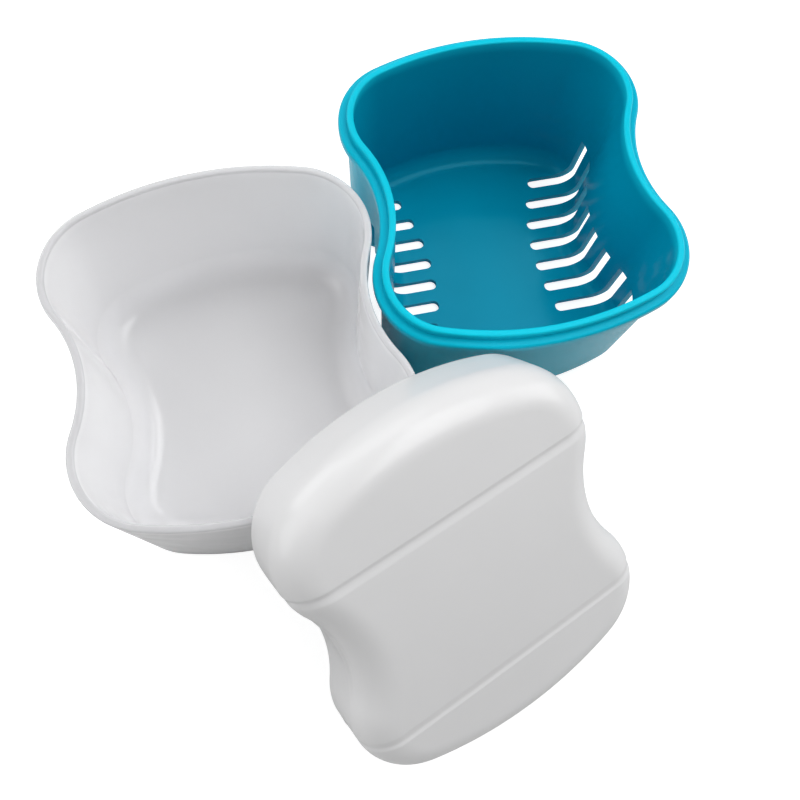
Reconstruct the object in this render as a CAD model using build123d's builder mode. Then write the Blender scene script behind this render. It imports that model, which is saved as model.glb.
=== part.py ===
"""Denture case: a soaking cup, a slotted rinse basket that hangs in it, and a domed lid.

All three pieces share one plan outline, an hourglass of bow, lobe and waist arcs. They stand apart,
as they do on a bathroom shelf while the case is open: the cup on its foot, the basket beside it, and
the lid leaning on the cup's rim. Millimetres, +Z up. The origin is the middle of the cup's foot, X runs
from waist to waist and Y from bow to bow.
"""

from build123d import *
from math import asin, atan2, cos, degrees, radians, sin, sqrt
import os

# Plan outline, measured at the rim
CASE_WIDTH = 87.0  # across the lobes
CASE_DEPTH = 96.0  # from bow to bow
BOW_RADIUS = 92.0
LOBE_RADIUS = 20.0
WAIST_RADIUS = 33.0

# Soaking cup
CUP_HEIGHT = 53.5
CUP_WALL = 1.9
CUP_FLOOR = 2.2
CUP_DRAFT = 1.0  # how far the foot lies inside the rim
CUP_FLOOR_FILLET = 9.0
CUP_FOOT_ROUND = 0.6
CUP_RIM_ROUND = 0.5

# Rinse basket
BASKET_RIM_CLEARANCE = 0.4  # to the cup's wall, just under the ledge
BASKET_FOOT_CLEARANCE = 1.2  # to the cup's wall, at the basket's foot
BASKET_FLOOR_GAP = 1.5  # left for the liquid between the two floors
BASKET_WALL = 2.0
BASKET_FLOOR = 2.0
BASKET_FLOOR_FILLET = 5.5
BASKET_FOOT_ROUND = 5.0
LEDGE_THICKNESS = 2.5
LEDGE_ROUND = 0.8
LIP_HEIGHT = 2.4  # above the ledge, where it centres the lid
LIP_ROUND = 0.5
SLOT_WIDTH = 3.1
SLOT_PITCH = 7.7
SLOT_ROWS = 8  # on each side
SLOT_RISE = 20.6  # top of the slots, up the basket's side
SLOT_TIP_REACH = 17.1  # middle of the floor to the arc that the inner tips lie on
SLOT_TIP_RADIUS = 72.0  # of that arc, which echoes the waist

# Lid
LID_HEIGHT = 23.4
LID_WALL = 2.0
LID_CLEARANCE = 0.4  # round the basket's lip
SKIRT_HEIGHT = 5.0
SKIRT_ROUND = 0.3
DOME_STEP = 0.35  # the dome stands this far inside the skirt
DOME_DRAFT = 0.3
DOME_WAIST_RADIUS = 29.0  # tighter than the skirt's, so that the step widens to a ledge at the waist
DOME_TOP_WAIST_RADIUS = 30.0
DOME_ROLL = 9.3
DOME_CROWN_RADIUS = 420.0
GROOVE_SPREAD = 46.6  # between the two grooves across the dome
GROOVE_WIDTH = 0.4
GROOVE_DEPTH = 0.6
END_CUSHION_ROUND = 3.0  # where the end cushions roll into the grooves
MIDDLE_CUSHION_ROUND = 1.0

# How the pieces stand
STAND_GAP = 3.15  # from the basket's lobe to the cup's waist
BASKET_SHIFT = 1.6  # of that lobe past the middle of the waist
BASKET_TURN = -3.4
LID_HEADING = 23.9  # the way the lid leans, turned from +Y
LID_SPIN = -8.5  # of the lid in its own plane
LID_REST_X = -2.25  # where its skirt rests on the near bow of the cup's rim
LID_REST_TURN = 32.8  # round the skirt's lobe, where it rests
LID_REST_GAP = 0.2

# Centres of the outline's arcs, and the angles that the arcs turn through
lobe_x = CASE_WIDTH / 2 - LOBE_RADIUS
bow_back = BOW_RADIUS - CASE_DEPTH / 2
lobe_y = sqrt((BOW_RADIUS - LOBE_RADIUS) ** 2 - lobe_x**2) - bow_back
bow_turn = degrees(atan2(lobe_x, lobe_y + bow_back))


def waist_centre(waist_radius):
    """Distance from the middle to the centre of a waist arc that touches both lobes."""
    return lobe_x + sqrt((LOBE_RADIUS + waist_radius) ** 2 - lobe_y**2)


def hourglass(inset=0.0, waist_radius=WAIST_RADIUS):
    """The plan outline, drawn an even inset inside the rim line, as a face."""
    waist_x = waist_centre(waist_radius)
    waist_turn = degrees(atan2(lobe_y, waist_x - lobe_x))
    lobe_arc = 90 - bow_turn + waist_turn
    with BuildSketch() as outline:
        with BuildLine():
            for side, facing in ((1, 0), (-1, 180)):
                CenterArc((0, -side * bow_back), BOW_RADIUS - inset, side * 90 - bow_turn, 2 * bow_turn)
                lobe = (side * lobe_x, side * lobe_y)
                CenterArc(lobe, LOBE_RADIUS - inset, facing - waist_turn, lobe_arc)
                lobe = (side * lobe_x, -side * lobe_y)
                CenterArc(lobe, LOBE_RADIUS - inset, facing + waist_turn - lobe_arc, lobe_arc)
                waist = (side * waist_x, 0)
                CenterArc(waist, waist_radius + inset, facing + 180 - waist_turn, 2 * waist_turn)
        make_face()
    return outline.sketch


def rim_edges(part, base, height):
    """Edges of a part that lie flat at a height above its base plane."""
    tolerance = 0.01
    return [
        edge
        for edge in part.edges()
        if all(abs(base.to_local_coords(edge @ along).Z - height) < tolerance for along in (0, 0.5, 1))
    ]


# ---------------------------------------------------------------- soaking cup
cup_base = Plane.XY

with BuildPart(cup_base) as soaking_cup:
    with BuildSketch(cup_base):
        add(hourglass(CUP_DRAFT))
    with BuildSketch(cup_base.offset(CUP_HEIGHT)):
        add(hourglass())
    loft()
    fillet(rim_edges(soaking_cup, cup_base, 0), CUP_FOOT_ROUND)
    with BuildSketch(cup_base.offset(CUP_FLOOR)):
        add(hourglass(CUP_WALL + CUP_DRAFT))
    with BuildSketch(cup_base.offset(CUP_HEIGHT)):
        add(hourglass(CUP_WALL))
    loft(mode=Mode.SUBTRACT)
    fillet(rim_edges(soaking_cup, cup_base, CUP_FLOOR), CUP_FLOOR_FILLET)
    fillet(rim_edges(soaking_cup, cup_base, CUP_HEIGHT), CUP_RIM_ROUND)

# ---------------------------------------------------------------- rinse basket
# The body hangs inside the cup from a ledge that lies on the cup's rim. A lip above it centres the lid.
body_depth = CUP_HEIGHT - CUP_FLOOR - BASKET_FLOOR_GAP
ledge_top = body_depth + LEDGE_THICKNESS
basket_height = ledge_top + LIP_HEIGHT
body_inset = CUP_WALL + BASKET_RIM_CLEARANCE
foot_inset = CUP_WALL + CUP_DRAFT + BASKET_FOOT_CLEARANCE
lip_inset = LID_WALL + LID_CLEARANCE

waist_reach = waist_centre(WAIST_RADIUS) - WAIST_RADIUS
basket_spot = (CASE_WIDTH / 2 + waist_reach + STAND_GAP, lobe_y + BASKET_SHIFT, 0)
basket_base = Plane(Location(basket_spot, (0, 0, BASKET_TURN)))

with BuildPart(basket_base) as rinse_basket:
    with BuildSketch(basket_base):
        add(hourglass(foot_inset))
    with BuildSketch(basket_base.offset(body_depth)):
        add(hourglass(body_inset))
    loft()
    fillet(rim_edges(rinse_basket, basket_base, 0), BASKET_FOOT_ROUND)
    with BuildSketch(basket_base.offset(body_depth)):
        add(hourglass())
    extrude(amount=LEDGE_THICKNESS)
    fillet(rim_edges(rinse_basket, basket_base, ledge_top), LEDGE_ROUND)
    with BuildSketch(basket_base.offset(ledge_top)):
        add(hourglass(lip_inset))
    extrude(amount=LIP_HEIGHT)
    with BuildSketch(basket_base.offset(BASKET_FLOOR)):
        add(hourglass(foot_inset + BASKET_WALL))
    with BuildSketch(basket_base.offset(basket_height)):
        add(hourglass(body_inset + BASKET_WALL))
    loft(mode=Mode.SUBTRACT)
    fillet(rim_edges(rinse_basket, basket_base, BASKET_FLOOR), BASKET_FLOOR_FILLET)
    fillet(rim_edges(rinse_basket, basket_base, basket_height), LIP_ROUND)
    # Drain slots run out across the floor from a rounded tip, round the fillet and up the side.
    with BuildSketch(basket_base):
        for row in range(SLOT_ROWS):
            slot_y = (row - (SLOT_ROWS - 1) / 2) * SLOT_PITCH
            tip_x = SLOT_TIP_REACH + SLOT_TIP_RADIUS - sqrt(SLOT_TIP_RADIUS**2 - slot_y**2)
            slot_length = CASE_WIDTH / 2 - tip_x
            for side in (1, -1):
                with Locations((side * (tip_x + SLOT_WIDTH / 2), slot_y)):
                    Circle(SLOT_WIDTH / 2)
                with Locations((side * (tip_x + SLOT_WIDTH / 2 + slot_length / 2), slot_y)):
                    Rectangle(slot_length, SLOT_WIDTH)
    extrude(amount=SLOT_RISE, mode=Mode.SUBTRACT)

# ---------------------------------------------------------------- lid
# It stands on the edge of its skirt and leans back until the skirt's inner edge rests on the near bow of
# the cup's rim.
rest_reach = LOBE_RADIUS - LID_WALL
rest_turn = radians(180 - LID_REST_TURN)
rest_x = rest_reach * cos(rest_turn) - lobe_x
rest_y = rest_reach * sin(rest_turn) + lobe_y
rest_on_skirt = Vector(rest_x, rest_y, 0).rotate(Axis.Z, LID_SPIN)
foot_to_middle = BOW_RADIUS - bow_back * cos(radians(LID_SPIN))
lean = degrees(asin((CUP_HEIGHT + LID_REST_GAP) / (rest_on_skirt.Y + foot_to_middle)))
lid_turn = Location((0, 0, 0), (0, 0, LID_HEADING)) * Location((0, 0, 0), (lean, 0, 0))
rim_y = bow_back - sqrt(BOW_RADIUS**2 - LID_REST_X**2)
rest_spot = Vector(LID_REST_X, rim_y, CUP_HEIGHT + LID_REST_GAP)
lid_spot = rest_spot - (lid_turn * Location(rest_on_skirt)).position
lid_base = Plane(Location(lid_spot) * lid_turn * Location((0, 0, 0), (0, 0, LID_SPIN)))


def dome(start, shrink=0.0):
    """The lid's puffy body from a start height up, shrunk evenly inwards."""
    with BuildPart() as body:
        with BuildSketch(Plane.XY.offset(start)):
            add(hourglass(DOME_STEP + shrink, DOME_WAIST_RADIUS))
        with BuildSketch(Plane.XY.offset(LID_HEIGHT)):
            add(hourglass(DOME_STEP + DOME_DRAFT + shrink, DOME_TOP_WAIST_RADIUS))
        loft()
        with Locations((0, 0, LID_HEIGHT - DOME_CROWN_RADIUS)):
            Sphere(DOME_CROWN_RADIUS - shrink, mode=Mode.INTERSECT)
        fillet(body.faces().filter_by(GeomType.SPHERE).edges(), DOME_ROLL - shrink)
    return body.part


def cushions():
    """The dome parted by two grooves with rolled shoulders, over a core that closes them below."""
    with BuildPart() as body:
        add(dome(SKIRT_HEIGHT))
        with Locations((0, -GROOVE_SPREAD / 2), (0, GROOVE_SPREAD / 2)):
            Box(CASE_WIDTH, GROOVE_WIDTH, 2 * LID_HEIGHT, mode=Mode.SUBTRACT)
        for picked, radius in (((0, 3), END_CUSHION_ROUND), ((1, 2), MIDDLE_CUSHION_ROUND)):
            walls = body.faces().filter_by(Axis.Y).sort_by(Axis.Y)
            shoulders = [edge for wall in picked for edge in walls[wall].edges().sort_by(Axis.Z)[1:]]
            fillet(shoulders, radius)
        add(dome(SKIRT_HEIGHT, GROOVE_DEPTH))
    return body.part


with BuildPart(lid_base) as lid:
    with BuildSketch(lid_base):
        add(hourglass())
    extrude(amount=SKIRT_HEIGHT)
    fillet(rim_edges(lid, lid_base, SKIRT_HEIGHT), SKIRT_ROUND)
    add(cushions())
    add(dome(SKIRT_HEIGHT - LID_WALL, LID_WALL), mode=Mode.SUBTRACT)
    with BuildSketch(lid_base):
        add(hourglass(LID_WALL))
    extrude(amount=SKIRT_HEIGHT - LID_WALL, mode=Mode.SUBTRACT)

soaking_cup.part.label = "soaking_cup"
rinse_basket.part.label = "rinse_basket"
lid.part.label = "lid"

os.makedirs("parts", exist_ok=True)
export_step(soaking_cup.part, "parts/soaking_cup.step")
export_step(rinse_basket.part, "parts/rinse_basket.step")
export_step(lid.part, "parts/lid.step")
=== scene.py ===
"""Dresses a denture case that stands open on a pale surface.

The pieces are a milky white soaking cup, a teal rinse basket beside it, and a white lid that leans on the
cup's rim. Each one is a moulded shell whose wall section is carried round the same hourglass plan.
"""

from math import radians

import bmesh
import bpy
import numpy as np
from bpy.props import FloatProperty, FloatVectorProperty, IntProperty, PointerProperty
from bpy.types import Operator, Panel, PropertyGroup
from mathutils import Matrix, Vector


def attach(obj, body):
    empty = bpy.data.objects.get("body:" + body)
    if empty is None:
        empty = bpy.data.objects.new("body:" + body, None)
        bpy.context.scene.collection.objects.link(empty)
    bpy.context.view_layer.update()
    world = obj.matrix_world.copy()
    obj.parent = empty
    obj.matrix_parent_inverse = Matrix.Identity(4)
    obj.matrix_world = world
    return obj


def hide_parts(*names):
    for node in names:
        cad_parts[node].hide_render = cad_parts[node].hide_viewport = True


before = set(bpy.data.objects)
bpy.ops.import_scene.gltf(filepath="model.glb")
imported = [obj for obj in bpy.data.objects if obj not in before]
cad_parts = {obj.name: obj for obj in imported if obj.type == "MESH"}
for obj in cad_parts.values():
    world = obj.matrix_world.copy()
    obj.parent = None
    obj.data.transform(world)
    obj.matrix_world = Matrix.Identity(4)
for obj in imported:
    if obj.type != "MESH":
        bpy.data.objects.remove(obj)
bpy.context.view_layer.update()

bl_info = {
    "name": "Denture Case",
    "version": (1, 0, 0),
    "blender": (4, 5, 0),
    "location": "View3D > Sidebar > Denture Case",
    "description": "Models a soaking cup, a rinse basket and a lid that share an hourglass plan",
    "category": "Add Mesh",
}

MM = 0.001


def length(name, description, millimetres):
    """A length property with its default given in millimetres."""
    return FloatProperty(name=name, description=description, default=millimetres * MM, unit="LENGTH")


def colour(name, description, rgb):
    """A linear colour property."""
    return FloatVectorProperty(
        name=name, description=description, default=rgb, size=3, min=0.0, max=1.0, subtype="COLOR"
    )


def angle(name, description, degrees):
    """An angle property with its default given in degrees."""
    return FloatProperty(name=name, description=description, default=radians(degrees), unit="ROTATION")


def power(name, description, watts):
    """The power of a light."""
    return FloatProperty(name=name, description=description, default=watts, unit="POWER")


def location(name, description, metres):
    """A place in space, in metres."""
    return FloatVectorProperty(
        name=name, description=description, default=metres, subtype="TRANSLATION", unit="LENGTH"
    )


def share(name, description, default):
    """A factor from 0 to 1."""
    return FloatProperty(
        name=name, description=description, default=default, min=0.0, max=1.0, subtype="FACTOR"
    )


# ---------------------------------------------------------------- settings


class OutlineSettings(PropertyGroup):
    """The plan outline that all three pieces share, measured at the rim."""

    width: length("Width", "Across the lobes", 87.0)
    depth: length("Depth", "From bow to bow", 96.0)
    bow_radius: length("Bow radius", "Of the front and back", 92.0)
    lobe_radius: length("Lobe radius", "Of the four corners", 20.0)
    waist_radius: length("Waist radius", "Of the pinched sides", 33.0)


class CupSettings(PropertyGroup):
    """The soaking cup."""

    height: length("Height", "From the foot to the rim", 53.5)
    wall: length("Wall", "Thickness of the wall", 1.9)
    floor: length("Floor", "Thickness of the floor", 2.2)
    draft: length("Draft", "How far the foot lies inside the rim", 1.0)
    floor_fillet: length("Floor fillet", "Where the inner wall turns into the floor", 9.0)
    foot_round: length("Foot round", "Outer edge of the foot", 0.6)
    rim_round: length("Rim round", "Edges of the rim", 0.5)


class BasketSettings(PropertyGroup):
    """The rinse basket."""

    body_depth: length("Body depth", "From the foot to the underside of the ledge", 49.8)
    rim_inset: length("Rim inset", "Of the outer wall, just under the ledge", 2.3)
    foot_inset: length("Foot inset", "Of the outer wall, at the foot", 4.1)
    lip_inset: length("Lip inset", "Of the lip above the ledge", 2.4)
    wall: length("Wall", "Thickness of the wall", 2.0)
    floor: length("Floor", "Thickness of the floor", 2.0)
    floor_fillet: length("Floor fillet", "Where the inner wall turns into the floor", 5.5)
    foot_round: length("Foot round", "Outer edge of the foot", 5.0)
    ledge: length("Ledge thickness", "Of the ledge that the basket hangs from", 2.5)
    ledge_round: length("Ledge round", "Outer edge of the ledge", 0.8)
    lip: length("Lip height", "Above the ledge", 2.4)
    lip_round: length("Lip round", "Edges of the lip", 0.5)
    slot_width: length("Slot width", "Of each drain slot", 3.6)
    slot_pitch: length("Slot pitch", "From slot to slot", 7.7)
    slot_rise: length("Slot rise", "Top of the slots, up the basket's side", 20.6)
    slot_reach: length("Slot reach", "From the middle to the arc that the tips lie on", 17.1)
    slot_arc: length("Slot arc", "Radius of the arc that the tips lie on", 72.0)
    slot_rows: IntProperty(name="Slot rows", description="Slots on each side", default=8, min=1)
    spot: location("Spot", "Where the middle of the foot stands", (0.0843756562, 0.0256569614, 0.0))
    turn: angle("Turn", "About the upright", -3.4)


class LidSettings(PropertyGroup):
    """The lid."""

    height: length("Height", "From the skirt's edge to the top of the dome", 23.4)
    wall: length("Wall", "Thickness of the shell", 2.0)
    skirt: length("Skirt height", "Of the straight band round the edge", 5.0)
    edge_round: length("Edge round", "Edges of the skirt", 0.3)
    dome_draft: length("Dome draft", "How far the dome's top lies inside its foot", 0.3)
    dome_waist: length("Dome waist", "Waist radius of the dome, over the ledge at each waist", 27.5)
    dome_roll: length("Dome roll", "Where the dome's side rolls into its top", 9.3)
    crown_radius: length("Crown radius", "Of the gently domed top, from bow to bow", 420.0)
    cross_radius: length("Cross radius", "Of the top, from side to side", 3000.0)
    groove_spread: length("Groove spread", "Between the two grooves", 46.6)
    groove_depth: length("Groove depth", "Of each groove", 0.35)
    groove_shift: length("Groove shift", "Of both grooves, from the middle", -1.7)
    groove_turn: angle("Groove turn", "Of both grooves, from straight across", 1.2)
    end_shoulder: length("End shoulder", "Where an end cushion slopes into a groove", 1.2)
    middle_shoulder: length("Middle shoulder", "Where the middle cushion slopes into a groove", 2.1)
    spot: location("Spot", "Middle of the skirt's edge plane", (0.0406442, -0.0628004, 0.0297109))
    heading: angle("Heading", "The way it leans, from +Y", 23.9)
    lean: angle("Lean", "From lying flat", 37.7927)
    spin: angle("Spin", "In its own plane", -8.5)


class PlasticSettings(PropertyGroup):
    """Colours and gloss of the three mouldings."""

    cup_colour: colour("Cup", "Milky, translucent white", (0.90, 0.90, 0.915))
    # Painted shade: the top of the rim is painted greyer, for the thin edge that passes light on.
    rim_shade_colour: colour("Cup rim", "The thin edge passes light on and looks greyer", (0.58, 0.58, 0.595))
    # Painted shade: the darker teal of the inner walls and floor, where less light falls.
    basket_shade_colour: colour("Basket", "Teal of the inner walls and floor", (0.0, 0.33, 0.495))
    # Painted light: the lighter teal of the lip, the ledge and, in part, the outer faces, where thin edges
    # let light through.
    basket_lit_colour: colour("Basket lip", "Thin edges let more light through", (0.005, 0.55, 0.72))
    basket_sheen: colour("Basket sheen", "Tint of the basket's reflections", (0.2, 0.85, 1.0))
    lid_colour: colour("Lid", "Opaque white", (0.75, 0.75, 0.755))
    cup_roughness: share("Cup roughness", "Of the cup's surface", 0.14)
    basket_roughness: share("Basket roughness", "Of the basket's surface", 0.17)
    lid_roughness: share("Lid roughness", "Of the lid's surface", 0.36)


class StageSettings(PropertyGroup):
    """Surface, light and camera."""

    floor_colour: colour("Floor", "Pale surface under the case", (0.7, 0.7, 0.7))
    floor_size: length("Floor size", "Of the square surface", 6000.0)
    floor_glow: share("Floor glow", "Light that the camera sees in the floor, near the case", 0.82)
    sky_strength: share("Sky strength", "Even light from all round", 0.28)
    key_power: power("Key power", "Overhead, at the right", 4.2)
    top_power: power("Top power", "Overhead, at the left", 1.3)
    back_power: power("Back power", "High up, behind", 1.8)
    corner_power: power("Corner power", "Behind, at the left", 2.6)
    left_power: power("Left power", "At the left", 2.1)
    right_power: power("Right power", "At the right", 3.1)
    lens: FloatProperty(
        name="Lens", description="Focal length on a 36 mm square sensor", default=36.73, unit="CAMERA"
    )


class CaseSettings(PropertyGroup):
    """Everything that can be set."""

    outline: PointerProperty(type=OutlineSettings)
    cup: PointerProperty(type=CupSettings)
    basket: PointerProperty(type=BasketSettings)
    lid: PointerProperty(type=LidSettings)
    plastic: PointerProperty(type=PlasticSettings)
    stage: PointerProperty(type=StageSettings)


# ---------------------------------------------------------------- the hourglass plan

# In metres: points closer than the first two are one point, and edges shorter than the third go.
SAME_POINT = 1e-7
WELD_DISTANCE = 2e-7
SMALLEST_EDGE = 1e-8


class Hourglass:
    """The plan outline: two bow arcs and four lobe arcs, joined by two waist arcs that touch the lobes.

    A station is a place along a quarter of it, from the middle of a waist to the middle of a bow. The
    first stations are lines of constant y, the next are turns of the lobe and the last turns of the bow.
    """

    def __init__(self, sizes):
        self.bow, self.lobe, self.waist = sizes.bow_radius, sizes.lobe_radius, sizes.waist_radius
        self.lobe_x = sizes.width / 2 - self.lobe
        self.bow_back = self.bow - sizes.depth / 2
        self.lobe_y = np.sqrt((self.bow - self.lobe) ** 2 - self.lobe_x**2) - self.bow_back
        self.bow_turn = np.arctan2(self.lobe_x, self.lobe_y + self.bow_back)

    def waist_centre(self, waist):
        """Distance from the middle to the centre of a waist arc of this radius."""
        return self.lobe_x + np.sqrt((self.lobe + waist) ** 2 - self.lobe_y**2)

    def quarter(self, levels, lobe_steps, bow_steps):
        """Stations of a quarter: the given levels of y, then even turns of the lobe and of the bow."""
        start = np.arcsin((levels[-1] - self.lobe_y) / self.lobe)
        lobe_turns = np.linspace(start, np.pi / 2 - self.bow_turn, lobe_steps + 1)[1:]
        bow_turns = np.linspace(self.bow_turn, 0.0, bow_steps + 1)[1:]
        return levels, lobe_turns, bow_turns

    def points(self, stations, inset, waist=None):
        """Plan points of the whole loop, a row for each inset and a column for each station.

        On the waist arc x = centre - sqrt((waist + inset)^2 - y^2), on a lobe x = centre +
        sqrt((lobe - inset)^2 - (y - centre y)^2), and past the last level both follow the arc's turn.
        """
        levels, lobe_turns, bow_turns = stations
        inset = np.asarray(inset, float)[:, None]
        waist = np.broadcast_to(self.waist if waist is None else waist, len(inset))[:, None]
        centre = self.waist_centre(waist)
        lean = np.arctan2(self.lobe_y, centre - self.lobe_x)
        joint_y = self.lobe_y - (self.lobe - inset) * np.sin(lean)
        on_waist = centre - np.sqrt(np.maximum((waist + inset) ** 2 - levels**2, 0.0))
        past = np.clip((levels - self.lobe_y) / (self.lobe - inset), -1.0, 1.0)
        on_lobe = self.lobe_x + (self.lobe - inset) * np.sqrt(1.0 - past**2)
        level_x = np.where(levels < joint_y, on_waist, on_lobe)
        level_y = np.broadcast_to(levels, level_x.shape)

        over = levels[-1] - self.lobe_y
        shift = np.arcsin(over / (self.lobe - inset)) - np.arcsin(over / self.lobe)
        fade = np.linspace(1.0, 0.0, len(lobe_turns) + 1)[1:] ** 2
        turns = lobe_turns + shift * fade
        lobe_x = self.lobe_x + (self.lobe - inset) * np.cos(turns)
        lobe_y = self.lobe_y + (self.lobe - inset) * np.sin(turns)
        bow_x = (self.bow - inset) * np.sin(bow_turns)
        bow_y = (self.bow - inset) * np.cos(bow_turns) - self.bow_back

        x = np.hstack([level_x, lobe_x, bow_x])
        y = np.hstack([level_y, lobe_y, bow_y])
        x[:, -1] = 0.0
        loop_x = np.hstack([x, -x[:, -2::-1], -x[:, 1:], x[:, -2:0:-1]])
        loop_y = np.hstack([y, y[:, -2::-1], -y[:, 1:], -y[:, -2:0:-1]])
        return loop_x, loop_y


def arc(inset, height, radius, start, end, count):
    """A round of a wall's section, as insets and heights: a circle from one angle to another, in degrees."""
    turn = np.radians(np.linspace(start, end, count))
    return inset + radius * np.cos(turn), height + radius * np.sin(turn)


def line(start, end, count):
    """A straight run of a wall's section, as insets and heights."""
    return np.linspace(start[0], end[0], count), np.linspace(start[1], end[1], count)


def section(*runs):
    """Joins runs end to end into one section, without the points that they share."""
    inset = np.concatenate([run[0] for run in runs])
    height = np.concatenate([run[1] for run in runs])
    step = np.hypot(np.diff(inset), np.diff(height))
    keep = np.concatenate([[True], step > SAME_POINT])
    return inset[keep], height[keep]


def sweep(outline, stations, inset, height):
    """Carries a section round the outline: a grid of points, a row for each point of the section."""
    x, y = outline.points(stations, inset)
    z = np.broadcast_to(np.asarray(height, float).reshape(-1, 1), x.shape)
    return np.stack([x, y, z], axis=-1)


def sides(loop):
    """The right and left halves of a loop, each from the near bow to the far one, so that y agrees."""
    quarter = len(loop) // 4
    right = np.r_[3 * quarter : 4 * quarter, 0 : quarter + 1]
    return loop[right], loop[(2 * quarter - right) % len(loop)]


def span(right, left, count, height):
    """Straight rows from a loop's right side to its left, at a height that is a function of x and y."""
    across = np.linspace(0.0, 1.0, count)[None, :, None]
    rows = right[:, None, :] * (1.0 - across) + left[:, None, :] * across
    rows[..., 2] = height(rows[..., 0], rows[..., 1])
    return rows


# ---------------------------------------------------------------- making pieces


def add_object(name, data):
    """A new object in the scene."""
    made = bpy.data.objects.new(name, data)
    bpy.context.scene.collection.objects.link(made)
    return made


class Shell:
    """Gathers grids of points, welds them where they meet and puts them into one mesh."""

    def __init__(self, name):
        self.name = name
        self.points, self.outside, self.faces, self.count = [], [], [], 0

    def grid(self, points, closed=False, keep=None, outside=0.0):
        """Adds a grid of quads. A closed grid joins its last column to its first.

        Keep is a mask of the quads that stay. Outside is 1 on outer faces and 0 on inner ones.
        """
        rows, columns = points.shape[:2]
        self.outside.append(np.broadcast_to(outside, (rows, columns)).ravel())
        index = self.count + np.arange(rows * columns).reshape(rows, columns)
        if closed:
            index = np.hstack([index, index[:, :1]])
        quads = np.stack([index[:-1, :-1], index[:-1, 1:], index[1:, 1:], index[1:, :-1]], axis=-1)
        self.faces.append(quads[keep] if keep is not None else quads.reshape(-1, 4))
        self.points.append(points.reshape(-1, 3))
        self.count += rows * columns

    def build(self, place, crease):
        """Makes the object, moved by a matrix, smooth except at edges sharper than the crease."""
        mesh = bpy.data.meshes.new(self.name)
        points = np.vstack(self.points) @ np.array(place.to_3x3()).T + np.array(place.translation)
        mesh.from_pydata(points, [], np.vstack(self.faces).tolist())
        # The outside mask, which paints light on the basket's outer faces.
        outside = mesh.attributes.new("outside", "FLOAT", "POINT")
        outside.data.foreach_set("value", np.concatenate(self.outside).astype(np.float32))
        shell = bmesh.new()
        shell.from_mesh(mesh)
        bmesh.ops.remove_doubles(shell, verts=shell.verts, dist=WELD_DISTANCE)
        bmesh.ops.dissolve_degenerate(shell, edges=shell.edges, dist=SMALLEST_EDGE)
        bmesh.ops.recalc_face_normals(shell, faces=shell.faces)
        shell.to_mesh(mesh)
        shell.free()
        mesh.shade_smooth()
        mesh.set_sharp_from_angle(angle=crease)
        return add_object(self.name, mesh)


# ---------------------------------------------------------------- the pieces


def make_cup(outline, cup):
    """A drafted wall with a rounded rim on a flat foot, and a deep fillet round the inner floor."""
    inner_top, rim, foot = cup.wall, cup.rim_round, cup.foot_round
    fillet_z = cup.floor + cup.floor_fillet
    inner_drop = cup.draft * (cup.height - fillet_z) / (cup.height - cup.floor)
    inner_low = inner_top + inner_drop
    inset, height = section(
        arc(cup.draft + foot, foot, foot, -90, -180, count=5),
        line((cup.draft, foot), (0.0, cup.height - rim), count=14),
        arc(rim, cup.height - rim, rim, 180, 90, count=6),
        arc(inner_top - rim, cup.height - rim, rim, 90, 0, count=6),
        line((inner_top, cup.height - rim), (inner_low, fillet_z), count=14),
        arc(inner_low + cup.floor_fillet, fillet_z, cup.floor_fillet, 180, 270, count=20),
    )
    stations = outline.quarter(np.linspace(0.0, outline.lobe_y, 26), lobe_steps=28, bow_steps=14)
    wall = sweep(outline, stations, inset, height)
    shell = Shell("soaking_cup_shell")
    shell.grid(wall, closed=True)
    shell.grid(span(*sides(wall[0]), count=24, height=lambda x, y: np.zeros_like(x)))
    shell.grid(span(*sides(wall[-1]), count=24, height=lambda x, y: np.full_like(x, cup.floor)))
    return shell


# Mesh steps across a slot, across a rib, from the wall to a slot's tip, and from tip to tip.
SLOT_ACROSS_STEPS = 8
RIB_STEPS = 3
TIP_STEPS = 10
MIDDLE_STEPS = 16

# The share of the way from the middle to the wall that a slot's tip never passes.
TIP_LIMIT = 0.78


def slot_offsets(y, basket):
    """The slot row that each y falls on, as its own y, and whether y lies within the slot's width."""
    middle = (basket.slot_rows - 1) / 2
    row = np.clip(np.round(y / basket.slot_pitch + middle), 0, basket.slot_rows - 1)
    centre = (row - middle) * basket.slot_pitch
    return centre, np.abs(y - centre) < basket.slot_width / 2 + SAME_POINT


def slot_levels(basket):
    """Levels of y from the middle out: fine across each slot, wide apart between the slots."""
    half = basket.slot_width / 2
    centres = (np.arange(basket.slot_rows) - (basket.slot_rows - 1) / 2) * basket.slot_pitch
    across = half * np.sin(np.radians(np.linspace(-90, 90, SLOT_ACROSS_STEPS + 1)))
    between = np.linspace(half, basket.slot_pitch - half, RIB_STEPS + 1)[1:-1]
    levels = np.concatenate([
        [0.0],
        (centres[:, None] + across).ravel(),
        (centres[:-1, None] + between).ravel(),
    ])
    return np.unique(np.round(levels[levels >= 0.0], 9))


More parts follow.
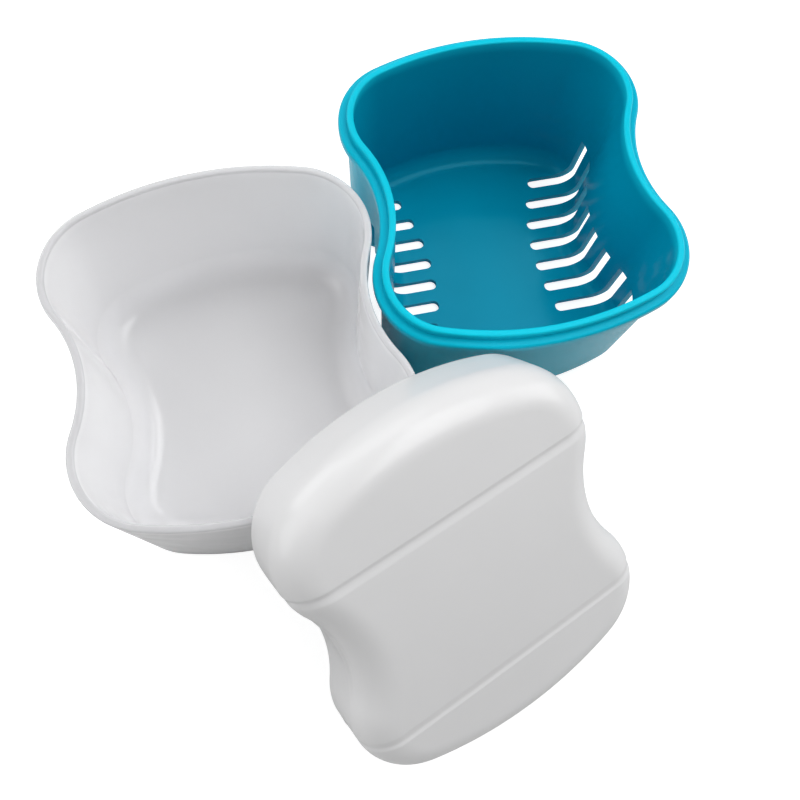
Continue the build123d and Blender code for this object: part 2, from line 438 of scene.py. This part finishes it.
def slotted_sheet(outline, stations, basket, section_low, floor_height):
    """One face of the basket, up to the top of the slots: its wall, and its floor.

    Floor rows run along x. On the right of each row a run of points goes from the wall to the tip of the
    slot, x = centre - sqrt(r^2 - e^2) for a row that lies e from the slot's middle, then a run crosses the
    middle, and a mirrored run goes on to the left wall. No tip goes past a set share of the half width.
    """
    wall = sweep(outline, stations, *section_low)
    right, left = sides(wall[0])
    y = right[:, 1]
    half = basket.slot_width / 2
    centre, inside = slot_offsets(y, basket)
    along = np.where(inside, centre, np.clip(y, -centre.max() - half, centre.max() + half))
    tip = basket.slot_reach + basket.slot_arc - np.sqrt(basket.slot_arc**2 - along**2) + half
    tip -= np.where(inside, np.sqrt(np.maximum(half**2 - (y - centre) ** 2, 0.0)), 0.0)
    tip = np.minimum(tip, TIP_LIMIT * right[:, 0])
    out = np.linspace(0.0, 1.0, TIP_STEPS + 1)
    over = np.linspace(0.0, 1.0, MIDDLE_STEPS + 1)[1:]
    near = right[:, :1] + (tip[:, None] - right[:, :1]) * out
    middle = tip[:, None] * (1.0 - 2.0 * over)
    x = np.hstack([near, middle, -near[:, -2::-1]])
    rows = np.broadcast_to(y[:, None], x.shape)
    floor = np.stack([x, rows, np.full_like(x, floor_height)], axis=-1)
    return wall, floor


def make_basket(outline, basket):
    """A slotted body under a ledge and a lip.

    Its outer and inner faces have matching grids. The cells inside the slots are left out of both, and a
    band of quads joins the two faces round each slot. A wall's inset changes evenly with its height.
    """
    deep = basket.body_depth
    ledge_top = deep + basket.ledge
    top = ledge_top + basket.lip
    rise = basket.slot_rise

    def outer_inset(z):
        return basket.foot_inset + (basket.rim_inset - basket.foot_inset) * z / deep

    def inner_inset(z):
        climb = (z - basket.floor) / (top - basket.floor)
        return basket.foot_inset + basket.wall + (basket.rim_inset - basket.foot_inset) * climb

    foot, fillet = basket.foot_round, basket.floor_fillet
    fillet_top = basket.floor + fillet
    outer_low = section(
        arc(outer_inset(foot) + foot, foot, foot, -90, -180, count=13),
        line((outer_inset(foot), foot), (outer_inset(rise), rise), count=9),
    )
    inner_low = section(
        arc(inner_inset(fillet_top) + fillet, fillet_top, fillet, -90, -180, count=13),
        line((inner_inset(fillet_top), fillet_top), (inner_inset(rise), rise), count=9),
    )
    ledge, lip = basket.ledge_round, basket.lip_round
    inner_top = inner_inset(top)
    upper = section(
        line((outer_inset(rise), rise), (basket.rim_inset, deep), count=12),
        line((basket.rim_inset, deep), (0.0, deep), count=3),
        line((0.0, deep), (0.0, ledge_top - ledge), count=4),
        arc(ledge, ledge_top - ledge, ledge, 180, 90, count=7),
        line((ledge, ledge_top), (basket.lip_inset, ledge_top), count=3),
        line((basket.lip_inset, ledge_top), (basket.lip_inset, top - lip), count=4),
        arc(basket.lip_inset + lip, top - lip, lip, 180, 90, count=6),
        arc(inner_top - lip, top - lip, lip, 90, 0, count=6),
        line((inner_top, top - lip), (inner_inset(rise), rise), count=12),
    )
    stations = outline.quarter(slot_levels(basket), lobe_steps=22, bow_steps=12)
    outer_wall, outer_floor = slotted_sheet(outline, stations, basket, outer_low, 0.0)
    inner_wall, inner_floor = slotted_sheet(outline, stations, basket, inner_low, basket.floor)

    loop = np.append(outer_wall[-1, :, 1], outer_wall[-1, 0, 1])
    solid_column = ~slot_offsets((loop[1:] + loop[:-1]) / 2, basket)[1]
    row_y = outer_floor[:, 0, 1]
    solid_row = ~slot_offsets((row_y[1:] + row_y[:-1]) / 2, basket)[1]
    middle = np.ones(outer_floor.shape[1] - 1, bool)
    middle[:TIP_STEPS] = middle[-TIP_STEPS:] = False
    keep_wall = np.broadcast_to(solid_column, (len(outer_wall) - 1, len(solid_column)))
    keep_floor = solid_row[:, None] | middle[None, :]

    shell = Shell("rinse_basket_shell")
    # Outer faces, up to the lip's crest, take the mask for painted light.
    before_crest = (np.arange(len(upper[1])) <= upper[1].argmax())[:, None]
    shell.grid(sweep(outline, stations, *upper), closed=True, outside=before_crest)
    for wall, floor, outside in ((outer_wall, outer_floor, 1.0), (inner_wall, inner_floor, 0.0)):
        shell.grid(wall, closed=True, keep=keep_wall, outside=outside)
        shell.grid(floor, keep=keep_floor, outside=outside)
    quarter = len(solid_column) // 4
    right = np.r_[3 * quarter : 4 * quarter, 0 : quarter + 1]
    starts = np.flatnonzero(np.diff(np.append(True, solid_row).astype(int)) == -1)
    ends = np.flatnonzero(np.diff(np.append(solid_row, True).astype(int)) == 1) + 1
    for start, end in zip(starts, ends):
        for mirrored in (False, True):
            columns = (2 * quarter - right) % (4 * quarter) if mirrored else right
            faces = []
            for wall, floor in ((outer_wall, outer_floor), (inner_wall, inner_floor)):
                floor = floor[:, ::-1] if mirrored else floor
                faces.append(np.vstack([
                    wall[::-1, columns[start]],
                    floor[start, : TIP_STEPS + 1],
                    floor[start : end + 1, TIP_STEPS],
                    floor[end, TIP_STEPS::-1],
                    wall[:, columns[end]],
                    wall[-1, columns[start : end + 1][::-1]],
                ]))
            shell.grid(np.stack(faces), outside=np.array([[1.0], [0.0]]))
    return shell


def place_lid(lid):
    """The lid's resting place: spun in its own plane, leaned back, turned and set down."""
    spin = Matrix.Rotation(lid.spin, 4, "Z")
    lean = Matrix.Rotation(lid.lean, 4, "X")
    heading = Matrix.Rotation(lid.heading, 4, "Z")
    return Matrix.Translation(lid.spot) @ heading @ lean @ spin


def groove_drop(x, y, lid):
    """How far a groove lies under the dome: soft shoulders that meet at the groove's line.

    drop = depth (1 - (a / w)^2)^2, where a is the distance from the line and w the shoulder's width.
    """
    away = np.abs(y - lid.groove_shift - x * np.tan(lid.groove_turn)) - lid.groove_spread / 2
    shoulder = np.where(away > 0.0, lid.end_shoulder, lid.middle_shoulder)
    return lid.groove_depth * (1.0 - np.clip(np.abs(away) / shoulder, 0.0, 1.0) ** 2) ** 2


# Levels of y are finer over this last part of the waist, where a groove crosses the sides.
GROOVE_BAND = 6.0 * MM


def make_lid(outline, lid):
    """A straight skirt under a puffy dome. Two grooves part the dome into three cushions.

    The dome's side leans in by its draft, rolls over a quarter round and runs into a crown that two
    crossing arcs make. The grooves are sunk along the side's own normals, and straight down in the crown.
    """
    reach = outline.lobe_y
    fine = reach - GROOVE_BAND
    levels = np.append(np.linspace(0.0, fine, 14, endpoint=False), np.linspace(fine, reach, 24))
    stations = outline.quarter(levels, lobe_steps=58, bow_steps=16)

    def crown(x, y, shrink=0.0):
        """Height of the crown: the sags of two crossing arcs, under the top."""
        along, across = lid.crown_radius - shrink, lid.cross_radius - shrink
        sag = along - np.sqrt(along**2 - y**2) + across - np.sqrt(across**2 - x**2)
        return lid.height - shrink - sag

    def dome(shrink, start, wall_rows, roll_rows):
        """Rows of the dome from its foot to the edge of its crown, shrunk inwards.

        Up the side the inset grows evenly to the draft. Over the roll it is draft + r (1 - cos turn),
        and the height is the crown's, less r (1 - sin turn).
        """
        roll = lid.dome_roll - shrink
        rise = np.concatenate([np.linspace(0.0, 1.0, wall_rows), np.ones(roll_rows)])
        turn = np.concatenate([np.zeros(wall_rows), np.linspace(0.0, np.pi / 2, roll_rows + 1)[1:]])
        slope = rise * (1.0 - roll * (1.0 - np.sin(turn)) / (lid.height - start))
        inset = lid.dome_draft * slope + shrink + roll * (1.0 - np.cos(turn))
        waist = np.where(turn > 0.0, lid.dome_waist, outline.waist)
        x, y = outline.points(stations, inset, waist)
        shoulder = crown(x, y, shrink) - roll * (1.0 - np.sin(turn))[:, None]
        z = start + (shoulder - start) * rise[:, None]
        return np.stack([x, y, z], axis=-1)

    outer = dome(0.0, lid.skirt, wall_rows=10, roll_rows=20)
    top = span(*sides(outer[-1]), count=150, height=crown)
    top[..., 2] -= groove_drop(top[..., 0], top[..., 1], lid)

    wrapped = np.concatenate([outer[:, -1:], outer, outer[:, :1]], axis=1)
    normal = np.cross(np.gradient(wrapped, axis=1), np.gradient(wrapped, axis=0))[:, 1:-1]
    normal /= np.linalg.norm(normal, axis=-1, keepdims=True)
    outer = outer - normal * groove_drop(outer[..., 0], outer[..., 1], lid)[..., None]

    edge = lid.edge_round
    inset, height = section(
        line((lid.wall, lid.skirt - lid.wall), (lid.wall, edge), count=4),
        arc(lid.wall - edge, edge, edge, 0, -90, count=4),
        arc(edge, edge, edge, -90, -180, count=4),
        line((0.0, edge), (0.0, lid.skirt), count=6),
    )
    skirt = sweep(outline, stations, inset, height)
    inner = dome(lid.wall, lid.skirt - lid.wall, wall_rows=8, roll_rows=14)
    ceiling = span(*sides(inner[-1]), count=40, height=lambda x, y: crown(x, y, lid.wall))

    shell = Shell("lid_shell")
    shell.grid(skirt, closed=True)
    shell.grid(outer, closed=True)
    shell.grid(top)
    shell.grid(np.stack([skirt[0], inner[0]]), closed=True)
    shell.grid(inner, closed=True)
    shell.grid(ceiling)
    return shell


# ---------------------------------------------------------------- materials

# Waves per metre of the noises in the moulded finish.
CLOUD_WAVES = 30.0
SMUDGE_WAVES = 75.0
SCUFF_WAVES = 55.0
RIPPLE_WAVES = 110.0
GRAIN_WAVES = 1500.0

# Scuffs are noise that is drawn out along one slanting direction.
SCUFF_STRETCH = (1.0, 14.0, 14.0)
SCUFF_TURN = (0.2, 0.5, 0.9)

# How much of the ripple's height the grain has, and how far outer faces go towards the main colour, as
# painted light.
GRAIN_SHARE = 0.03
OUTSIDE_SHARE = 0.6
RELIEF = 0.1 * MM
WHITE = (1.0, 1.0, 1.0, 1.0)

# The floor that the camera sees: its shade, and the distances over which its glow grows to full white.
SHADOW_SHARE = 0.6
GLOW_FROM = 0.3
GLOW_TO = 1.2


def node_group(name, inputs, outputs):
    """A new shader group with the named sockets, and its input and output nodes."""
    group = bpy.data.node_groups.new(name, "ShaderNodeTree")
    for socket, kind, default in inputs:
        item = group.interface.new_socket(socket, in_out="INPUT", socket_type="NodeSocket" + kind)
        if default is not None:
            item.default_value = default
    for socket, kind in outputs:
        group.interface.new_socket(socket, in_out="OUTPUT", socket_type="NodeSocket" + kind)
    return group, group.nodes.new("NodeGroupInput"), group.nodes.new("NodeGroupOutput")


def link(tree, source, target):
    """Joins two sockets, each given as a node and a socket's name."""
    tree.links.new(source[0].outputs[source[1]], target[0].inputs[target[1]])


def fill(node, values):
    """Sets a node's inputs from a table of names and values."""
    for name, value in values.items():
        node.inputs[name].default_value = value


def noise(tree, vector, scale, detail, distortion=0.0):
    """A noise texture on a vector socket, with its scale in waves per metre. Gives its Fac socket."""
    node = tree.nodes.new("ShaderNodeTexNoise")
    fill(node, {"Scale": scale, "Detail": detail, "Distortion": distortion})
    link(tree, vector, (node, "Vector"))
    return node, "Fac"


def spread(tree, source, low, high, to_low, to_high):
    """Maps a value from one range to another, without going beyond it. Gives the result's socket."""
    node = tree.nodes.new("ShaderNodeMapRange")
    fill(node, {"From Min": low, "From Max": high, "To Min": to_low, "To Max": to_high})
    link(tree, source, (node, "Value"))
    return node, "Result"


def maths(tree, operation, first, second):
    """A maths node's result. Each side is a number or a socket given as a node and a name."""
    node = tree.nodes.new("ShaderNodeMath")
    node.operation = operation
    for index, side in enumerate((first, second)):
        if isinstance(side, tuple):
            tree.links.new(side[0].outputs[side[1]], node.inputs[index])
        else:
            node.inputs[index].default_value = side
    return node, "Value"


def moulded_finish():
    """The shared finish of the mouldings: cloudy colour, uneven gloss, fine scuffs and a faint ripple.

    The colour goes from the low one to the main one over a range of heights, and towards the main one on
    outer faces. This blend paints light and shade into the colour.
    """
    if "moulded_finish" in bpy.data.node_groups:
        return bpy.data.node_groups["moulded_finish"]
    tree, given, made = node_group(
        "moulded_finish",
        (
            ("Position", "Vector", None),
            ("Colour", "Color", (0.8, 0.8, 0.8, 1.0)),
            ("Low Colour", "Color", (0.8, 0.8, 0.8, 1.0)),
            ("Low Height", "Float", 0.0),
            ("High Height", "Float", 0.01),
            ("Outside", "Float", 0.0),
            ("Cloud", "Float", 0.03),
            ("Roughness", "Float", 0.3),
            ("Smudge", "Float", 0.05),
            ("Ripple", "Float", 1.0),
        ),
        (("Colour", "Color"), ("Roughness", "Float"), ("Height", "Float")),
    )
    position = (given, "Position")
    split = tree.nodes.new("ShaderNodeSeparateXYZ")
    link(tree, position, (split, "Vector"))
    # Painted light and shade: the blend from the low colour to the main one, by height and on outer faces.
    climb = tree.nodes.new("ShaderNodeMapRange")
    climb.interpolation_type = "SMOOTHSTEP"
    link(tree, (split, "Z"), (climb, "Value"))
    link(tree, (given, "Low Height"), (climb, "From Min"))
    link(tree, (given, "High Height"), (climb, "From Max"))
    facing_out = maths(tree, "MULTIPLY", (given, "Outside"), OUTSIDE_SHARE)
    blend = tree.nodes.new("ShaderNodeMixRGB")
    link(tree, maths(tree, "MAXIMUM", (climb, "Result"), facing_out), (blend, "Fac"))
    link(tree, (given, "Low Colour"), (blend, "Color1"))
    link(tree, (given, "Colour"), (blend, "Color2"))

    cloud = spread(tree, noise(tree, position, CLOUD_WAVES, detail=3.0), 0.3, 0.7, -1.0, 1.0)
    shade = maths(tree, "MULTIPLY", cloud, (given, "Cloud"))
    tint = tree.nodes.new("ShaderNodeHueSaturation")
    link(tree, maths(tree, "ADD", shade, 1.0), (tint, "Value"))
    link(tree, (blend, "Color"), (tint, "Color"))
    link(tree, (tint, "Color"), (made, "Colour"))

    stretch = tree.nodes.new("ShaderNodeMapping")
    fill(stretch, {"Scale": SCUFF_STRETCH, "Rotation": SCUFF_TURN})
    link(tree, position, (stretch, "Vector"))
    scuffs = noise(tree, (stretch, "Vector"), SCUFF_WAVES, detail=2.0)
    smudges = noise(tree, position, SMUDGE_WAVES, detail=6.0, distortion=0.6)
    scuff = spread(tree, scuffs, 0.70, 0.76, 0.0, 0.5)
    smudge = spread(tree, smudges, 0.35, 0.7, -0.5, 1.0)
    uneven = maths(tree, "MULTIPLY", maths(tree, "ADD", smudge, scuff), (given, "Smudge"))
    link(tree, maths(tree, "ADD", uneven, (given, "Roughness")), (made, "Roughness"))

    grain = maths(tree, "MULTIPLY", noise(tree, position, GRAIN_WAVES, detail=2.0), GRAIN_SHARE)
    relief = maths(tree, "ADD", noise(tree, position, RIPPLE_WAVES, detail=1.0), grain)
    link(tree, maths(tree, "MULTIPLY", relief, (given, "Ripple")), (made, "Height"))
    return tree


def shader_nodes(name):
    """A new material with an empty tree, a Principled BSDF and an output."""
    material = bpy.data.materials.new(name)
    material.use_nodes = True
    tree = material.node_tree
    tree.nodes.clear()
    output = tree.nodes.new("ShaderNodeOutputMaterial")
    principled = tree.nodes.new("ShaderNodeBsdfPrincipled")
    link(tree, (principled, "BSDF"), (output, "Surface"))
    return material, tree, principled


def plastic_material(
    name,
    rgb,
    roughness,
    cloud,
    ripple,
    low_rgb=None,
    rise=(0.0, 10.0 * MM),
    coat=0.0,
    ior=1.45,
    sheen=(1.0, 1.0, 1.0),
    translucence=0.0,
):
    """A glossy moulding. Its low colour turns into its main one over the rise, a range of heights: painted
    light and shade.

    Sheen tints its reflections, and translucence is the share of light that wanders through it.
    """
    material, tree, principled = shader_nodes(name)
    place = tree.nodes.new("ShaderNodeTexCoord")
    outside = tree.nodes.new("ShaderNodeAttribute")
    outside.attribute_name = "outside"
    finish = tree.nodes.new("ShaderNodeGroup")
    finish.node_tree = moulded_finish()
    fill(finish, {
        "Colour": (*rgb, 1.0),
        "Low Colour": (*(rgb if low_rgb is None else low_rgb), 1.0),
        "Low Height": rise[0],
        "High Height": rise[1],
        "Cloud": cloud,
        "Roughness": roughness,
        "Ripple": ripple,
    })
    bump = tree.nodes.new("ShaderNodeBump")
    fill(bump, {"Distance": RELIEF})
    link(tree, (place, "Object"), (finish, "Position"))
    link(tree, (outside, "Fac"), (finish, "Outside"))
    link(tree, (finish, "Colour"), (principled, "Base Color"))
    link(tree, (finish, "Roughness"), (principled, "Roughness"))
    link(tree, (finish, "Height"), (bump, "Height"))
    link(tree, (bump, "Normal"), (principled, "Normal"))
    fill(principled, {
        "IOR": ior,
        "Specular Tint": (*sheen, 1.0),
        "Coat Weight": coat,
        "Coat Roughness": 0.08,
        "Subsurface Weight": translucence,
        "Subsurface Radius": (1.0, 1.0, 1.0),
        "Subsurface Scale": 6.0 * MM,
    })
    return material


def floor_material(rgb, glow):
    """Pale matt paper. To the camera it glows, as on a light table, so its shadows stay faint.

    The glow grows to full white with the distance from the case, which leaves no horizon.
    """
    material, tree, paper = shader_nodes("floor_paper")
    fill(paper, {"Base Color": (*rgb, 1.0), "Roughness": 0.8, "Specular IOR Level": 0.1})
    lit = tree.nodes.new("ShaderNodeBsdfPrincipled")
    shaded = [SHADOW_SHARE * part for part in rgb]
    fill(lit, {"Base Color": (*shaded, 1.0), "Roughness": 1.0, "Specular IOR Level": 0.0})
    fill(lit, {"Emission Strength": 1.0})
    place = tree.nodes.new("ShaderNodeTexCoord")
    away = tree.nodes.new("ShaderNodeVectorMath")
    away.operation = "LENGTH"
    link(tree, (place, "Object"), (away, "Vector"))
    link(tree, spread(tree, (away, "Value"), GLOW_FROM, GLOW_TO, glow, 1.0), (lit, "Emission Color"))
    path = tree.nodes.new("ShaderNodeLightPath")
    mix = tree.nodes.new("ShaderNodeMixShader")
    output = next(node for node in tree.nodes if node.type == "OUTPUT_MATERIAL")
    link(tree, (path, "Is Camera Ray"), (mix, "Fac"))
    tree.links.new(paper.outputs["BSDF"], mix.inputs[1])
    tree.links.new(lit.outputs["BSDF"], mix.inputs[2])
    link(tree, (mix, "Shader"), (output, "Surface"))
    return material


def studio_world(strength):
    """Even white light from all round. The camera sees it as plain white."""
    world = bpy.data.worlds.new("studio")
    world.use_nodes = True
    tree = world.node_tree
    even = tree.nodes["Background"]
    fill(even, {"Color": WHITE, "Strength": strength})
    seen = tree.nodes.new("ShaderNodeBackground")
    fill(seen, {"Color": WHITE})
    path = tree.nodes.new("ShaderNodeLightPath")
    mix = tree.nodes.new("ShaderNodeMixShader")
    link(tree, (path, "Is Camera Ray"), (mix, "Fac"))
    tree.links.new(even.outputs["Background"], mix.inputs[1])
    tree.links.new(seen.outputs["Background"], mix.inputs[2])
    link(tree, (mix, "Shader"), (tree.nodes["World Output"], "Surface"))
    return world


# ---------------------------------------------------------------- operators


def settings():
    """The case's settings in the current scene."""
    return bpy.context.scene.denture_case


class DENTURECASE_OT_soaking_cup(Operator):
    """Make the soaking cup"""

    bl_idname = "denture_case.soaking_cup"
    bl_label = "Soaking Cup"

    def execute(self, context):
        case = settings()
        piece = make_cup(Hourglass(case.outline), case.cup).build(Matrix.Identity(4), radians(50))
        plastic = case.plastic
        rim = case.cup.height
        # The cup's own white, with painted shade on the top of the rim.
        material = plastic_material(
            "cup_plastic", plastic.rim_shade_colour, plastic.cup_roughness, cloud=0.01, ripple=0.4,
            low_rgb=plastic.cup_colour, rise=(rim - 1.2 * MM, rim - 0.2 * MM), coat=0.1, translucence=0.6
        )
        piece.data.materials.append(material)
        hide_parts("soaking_cup")
        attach(piece, "cup")
        return {"FINISHED"}


class DENTURECASE_OT_rinse_basket(Operator):
    """Make the rinse basket"""

    bl_idname = "denture_case.rinse_basket"
    bl_label = "Rinse Basket"

    def execute(self, context):
        case = settings()
        place = Matrix.Translation(case.basket.spot) @ Matrix.Rotation(case.basket.turn, 4, "Z")
        piece = make_basket(Hourglass(case.outline), case.basket).build(place, radians(40))
        plastic = case.plastic
        ledge = case.basket.body_depth
        # Painted light and shade: lighter teal on the lip, the ledge and the outer faces, darker teal on the
        # inner walls and floor.
        material = plastic_material(
            "basket_plastic", plastic.basket_lit_colour, plastic.basket_roughness, cloud=0.03, ripple=0.6,
            low_rgb=plastic.basket_shade_colour, rise=(ledge + 0.5 * MM, ledge + 5.0 * MM),
            ior=1.27, sheen=plastic.basket_sheen
        )
        piece.data.materials.append(material)
        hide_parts("rinse_basket")
        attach(piece, "basket")
        return {"FINISHED"}


class DENTURECASE_OT_lid(Operator):
    """Make the lid"""

    bl_idname = "denture_case.lid"
    bl_label = "Lid"

    def execute(self, context):
        case = settings()
        piece = make_lid(Hourglass(case.outline), case.lid).build(place_lid(case.lid), radians(40))
        plastic = case.plastic
        material = plastic_material(
            "lid_plastic", plastic.lid_colour, plastic.lid_roughness, cloud=0.01, ripple=0.6, coat=0.3
        )
        piece.data.materials.append(material)
        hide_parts("lid")
        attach(piece, "lid")
        return {"FINISHED"}


# Each light's name, place, the point it faces, and its width and height.
CASE_MIDDLE = (0.03, 0.0, 0.02)
LIGHTS = (
    ("key", (0.45, 0.09, 0.9), (0.45, 0.09, 0.0), (0.5, 0.78)),
    ("top", (-0.6, 0.1, 0.9), CASE_MIDDLE, (0.6, 0.6)),
    ("back", (0.0, 0.8, 0.9), CASE_MIDDLE, (0.6, 0.6)),
    ("corner", (-0.6, 0.8, 0.6), CASE_MIDDLE, (0.6, 0.6)),
    ("left", (-0.9, 0.0, 0.5), CASE_MIDDLE, (0.6, 0.6)),
    ("right", (0.9, 0.1, 0.5), CASE_MIDDLE, (0.6, 0.6)),
)

# The camera's place, and its own right, up and back as directions in space.
CAMERA_SPOT = (0.011742, -0.081514, 0.247113)
CAMERA_AXES = (
    (0.96228, -0.26654, 0.05461),
    (0.23992, 0.92596, 0.29160),
    (-0.12829, -0.26750, 0.95498),
)
SENSOR_WIDTH = 36.0
FLOOR_DROP = -0.05 * MM


class DENTURECASE_OT_stage(Operator):
    """Set the floor, the lights and the camera"""

    bl_idname = "denture_case.stage"
    bl_label = "Stage"

    def execute(self, context):
        stage = settings().stage
        scene = context.scene
        scene.view_settings.view_transform = "Standard"

        half = stage.floor_size / 2
        corners = [(x * half, y * half, FLOOR_DROP) for x, y in ((-1, -1), (1, -1), (1, 1), (-1, 1))]
        mesh = bpy.data.meshes.new("floor")
        mesh.from_pydata(corners, [], [(0, 1, 2, 3)])
        mesh.materials.append(floor_material(stage.floor_colour, stage.floor_glow))
        add_object("floor", mesh)

        scene.world = studio_world(stage.sky_strength)
        for name, spot, aim, size in LIGHTS:
            light = bpy.data.lights.new(name + "_light", "AREA")
            light.shape, light.energy = "RECTANGLE", getattr(stage, name + "_power")
            light.size, light.size_y = size
            lamp = add_object(light.name, light)
            lamp.location = spot
            lamp.rotation_euler = (Vector(aim) - Vector(spot)).to_track_quat("-Z", "Y").to_euler()

        view = bpy.data.cameras.new("camera")
        view.sensor_fit, view.sensor_width, view.lens = "HORIZONTAL", SENSOR_WIDTH, stage.lens
        camera = add_object("camera", view)
        turn = Matrix(CAMERA_AXES).transposed().to_4x4()
        camera.matrix_world = Matrix.Translation(CAMERA_SPOT) @ turn
        scene.camera = camera
        return {"FINISHED"}


class DENTURECASE_PT_sidebar(Panel):
    """Lists the pieces in the 3D view's sidebar"""

    bl_idname = "DENTURECASE_PT_sidebar"
    bl_label = "Denture Case"
    bl_space_type = "VIEW_3D"
    bl_region_type = "UI"
    bl_category = "Denture Case"

    def draw(self, context):
        """Puts a button for each operator."""
        for operator in OPERATORS:
            self.layout.operator(operator.bl_idname)


OPERATORS = (
    DENTURECASE_OT_soaking_cup,
    DENTURECASE_OT_rinse_basket,
    DENTURECASE_OT_lid,
    DENTURECASE_OT_stage,
)
CLASSES = (
    OutlineSettings,
    CupSettings,
    BasketSettings,
    LidSettings,
    PlasticSettings,
    StageSettings,
    CaseSettings,
    *OPERATORS,
    DENTURECASE_PT_sidebar,
)


def register():
    """Adds the classes and the scene's settings."""
    for cls in CLASSES:
        bpy.utils.register_class(cls)
    bpy.types.Scene.denture_case = PointerProperty(type=CaseSettings)


def unregister():
    """Takes the settings and the classes away again."""
    del bpy.types.Scene.denture_case
    for cls in reversed(CLASSES):
        bpy.utils.unregister_class(cls)


def main():
    """Makes the pieces and the stage."""
    register()
    bpy.ops.denture_case.soaking_cup()
    bpy.ops.denture_case.rinse_basket()
    bpy.ops.denture_case.lid()
    bpy.ops.denture_case.stage()


if __name__ == "__main__":
    main()
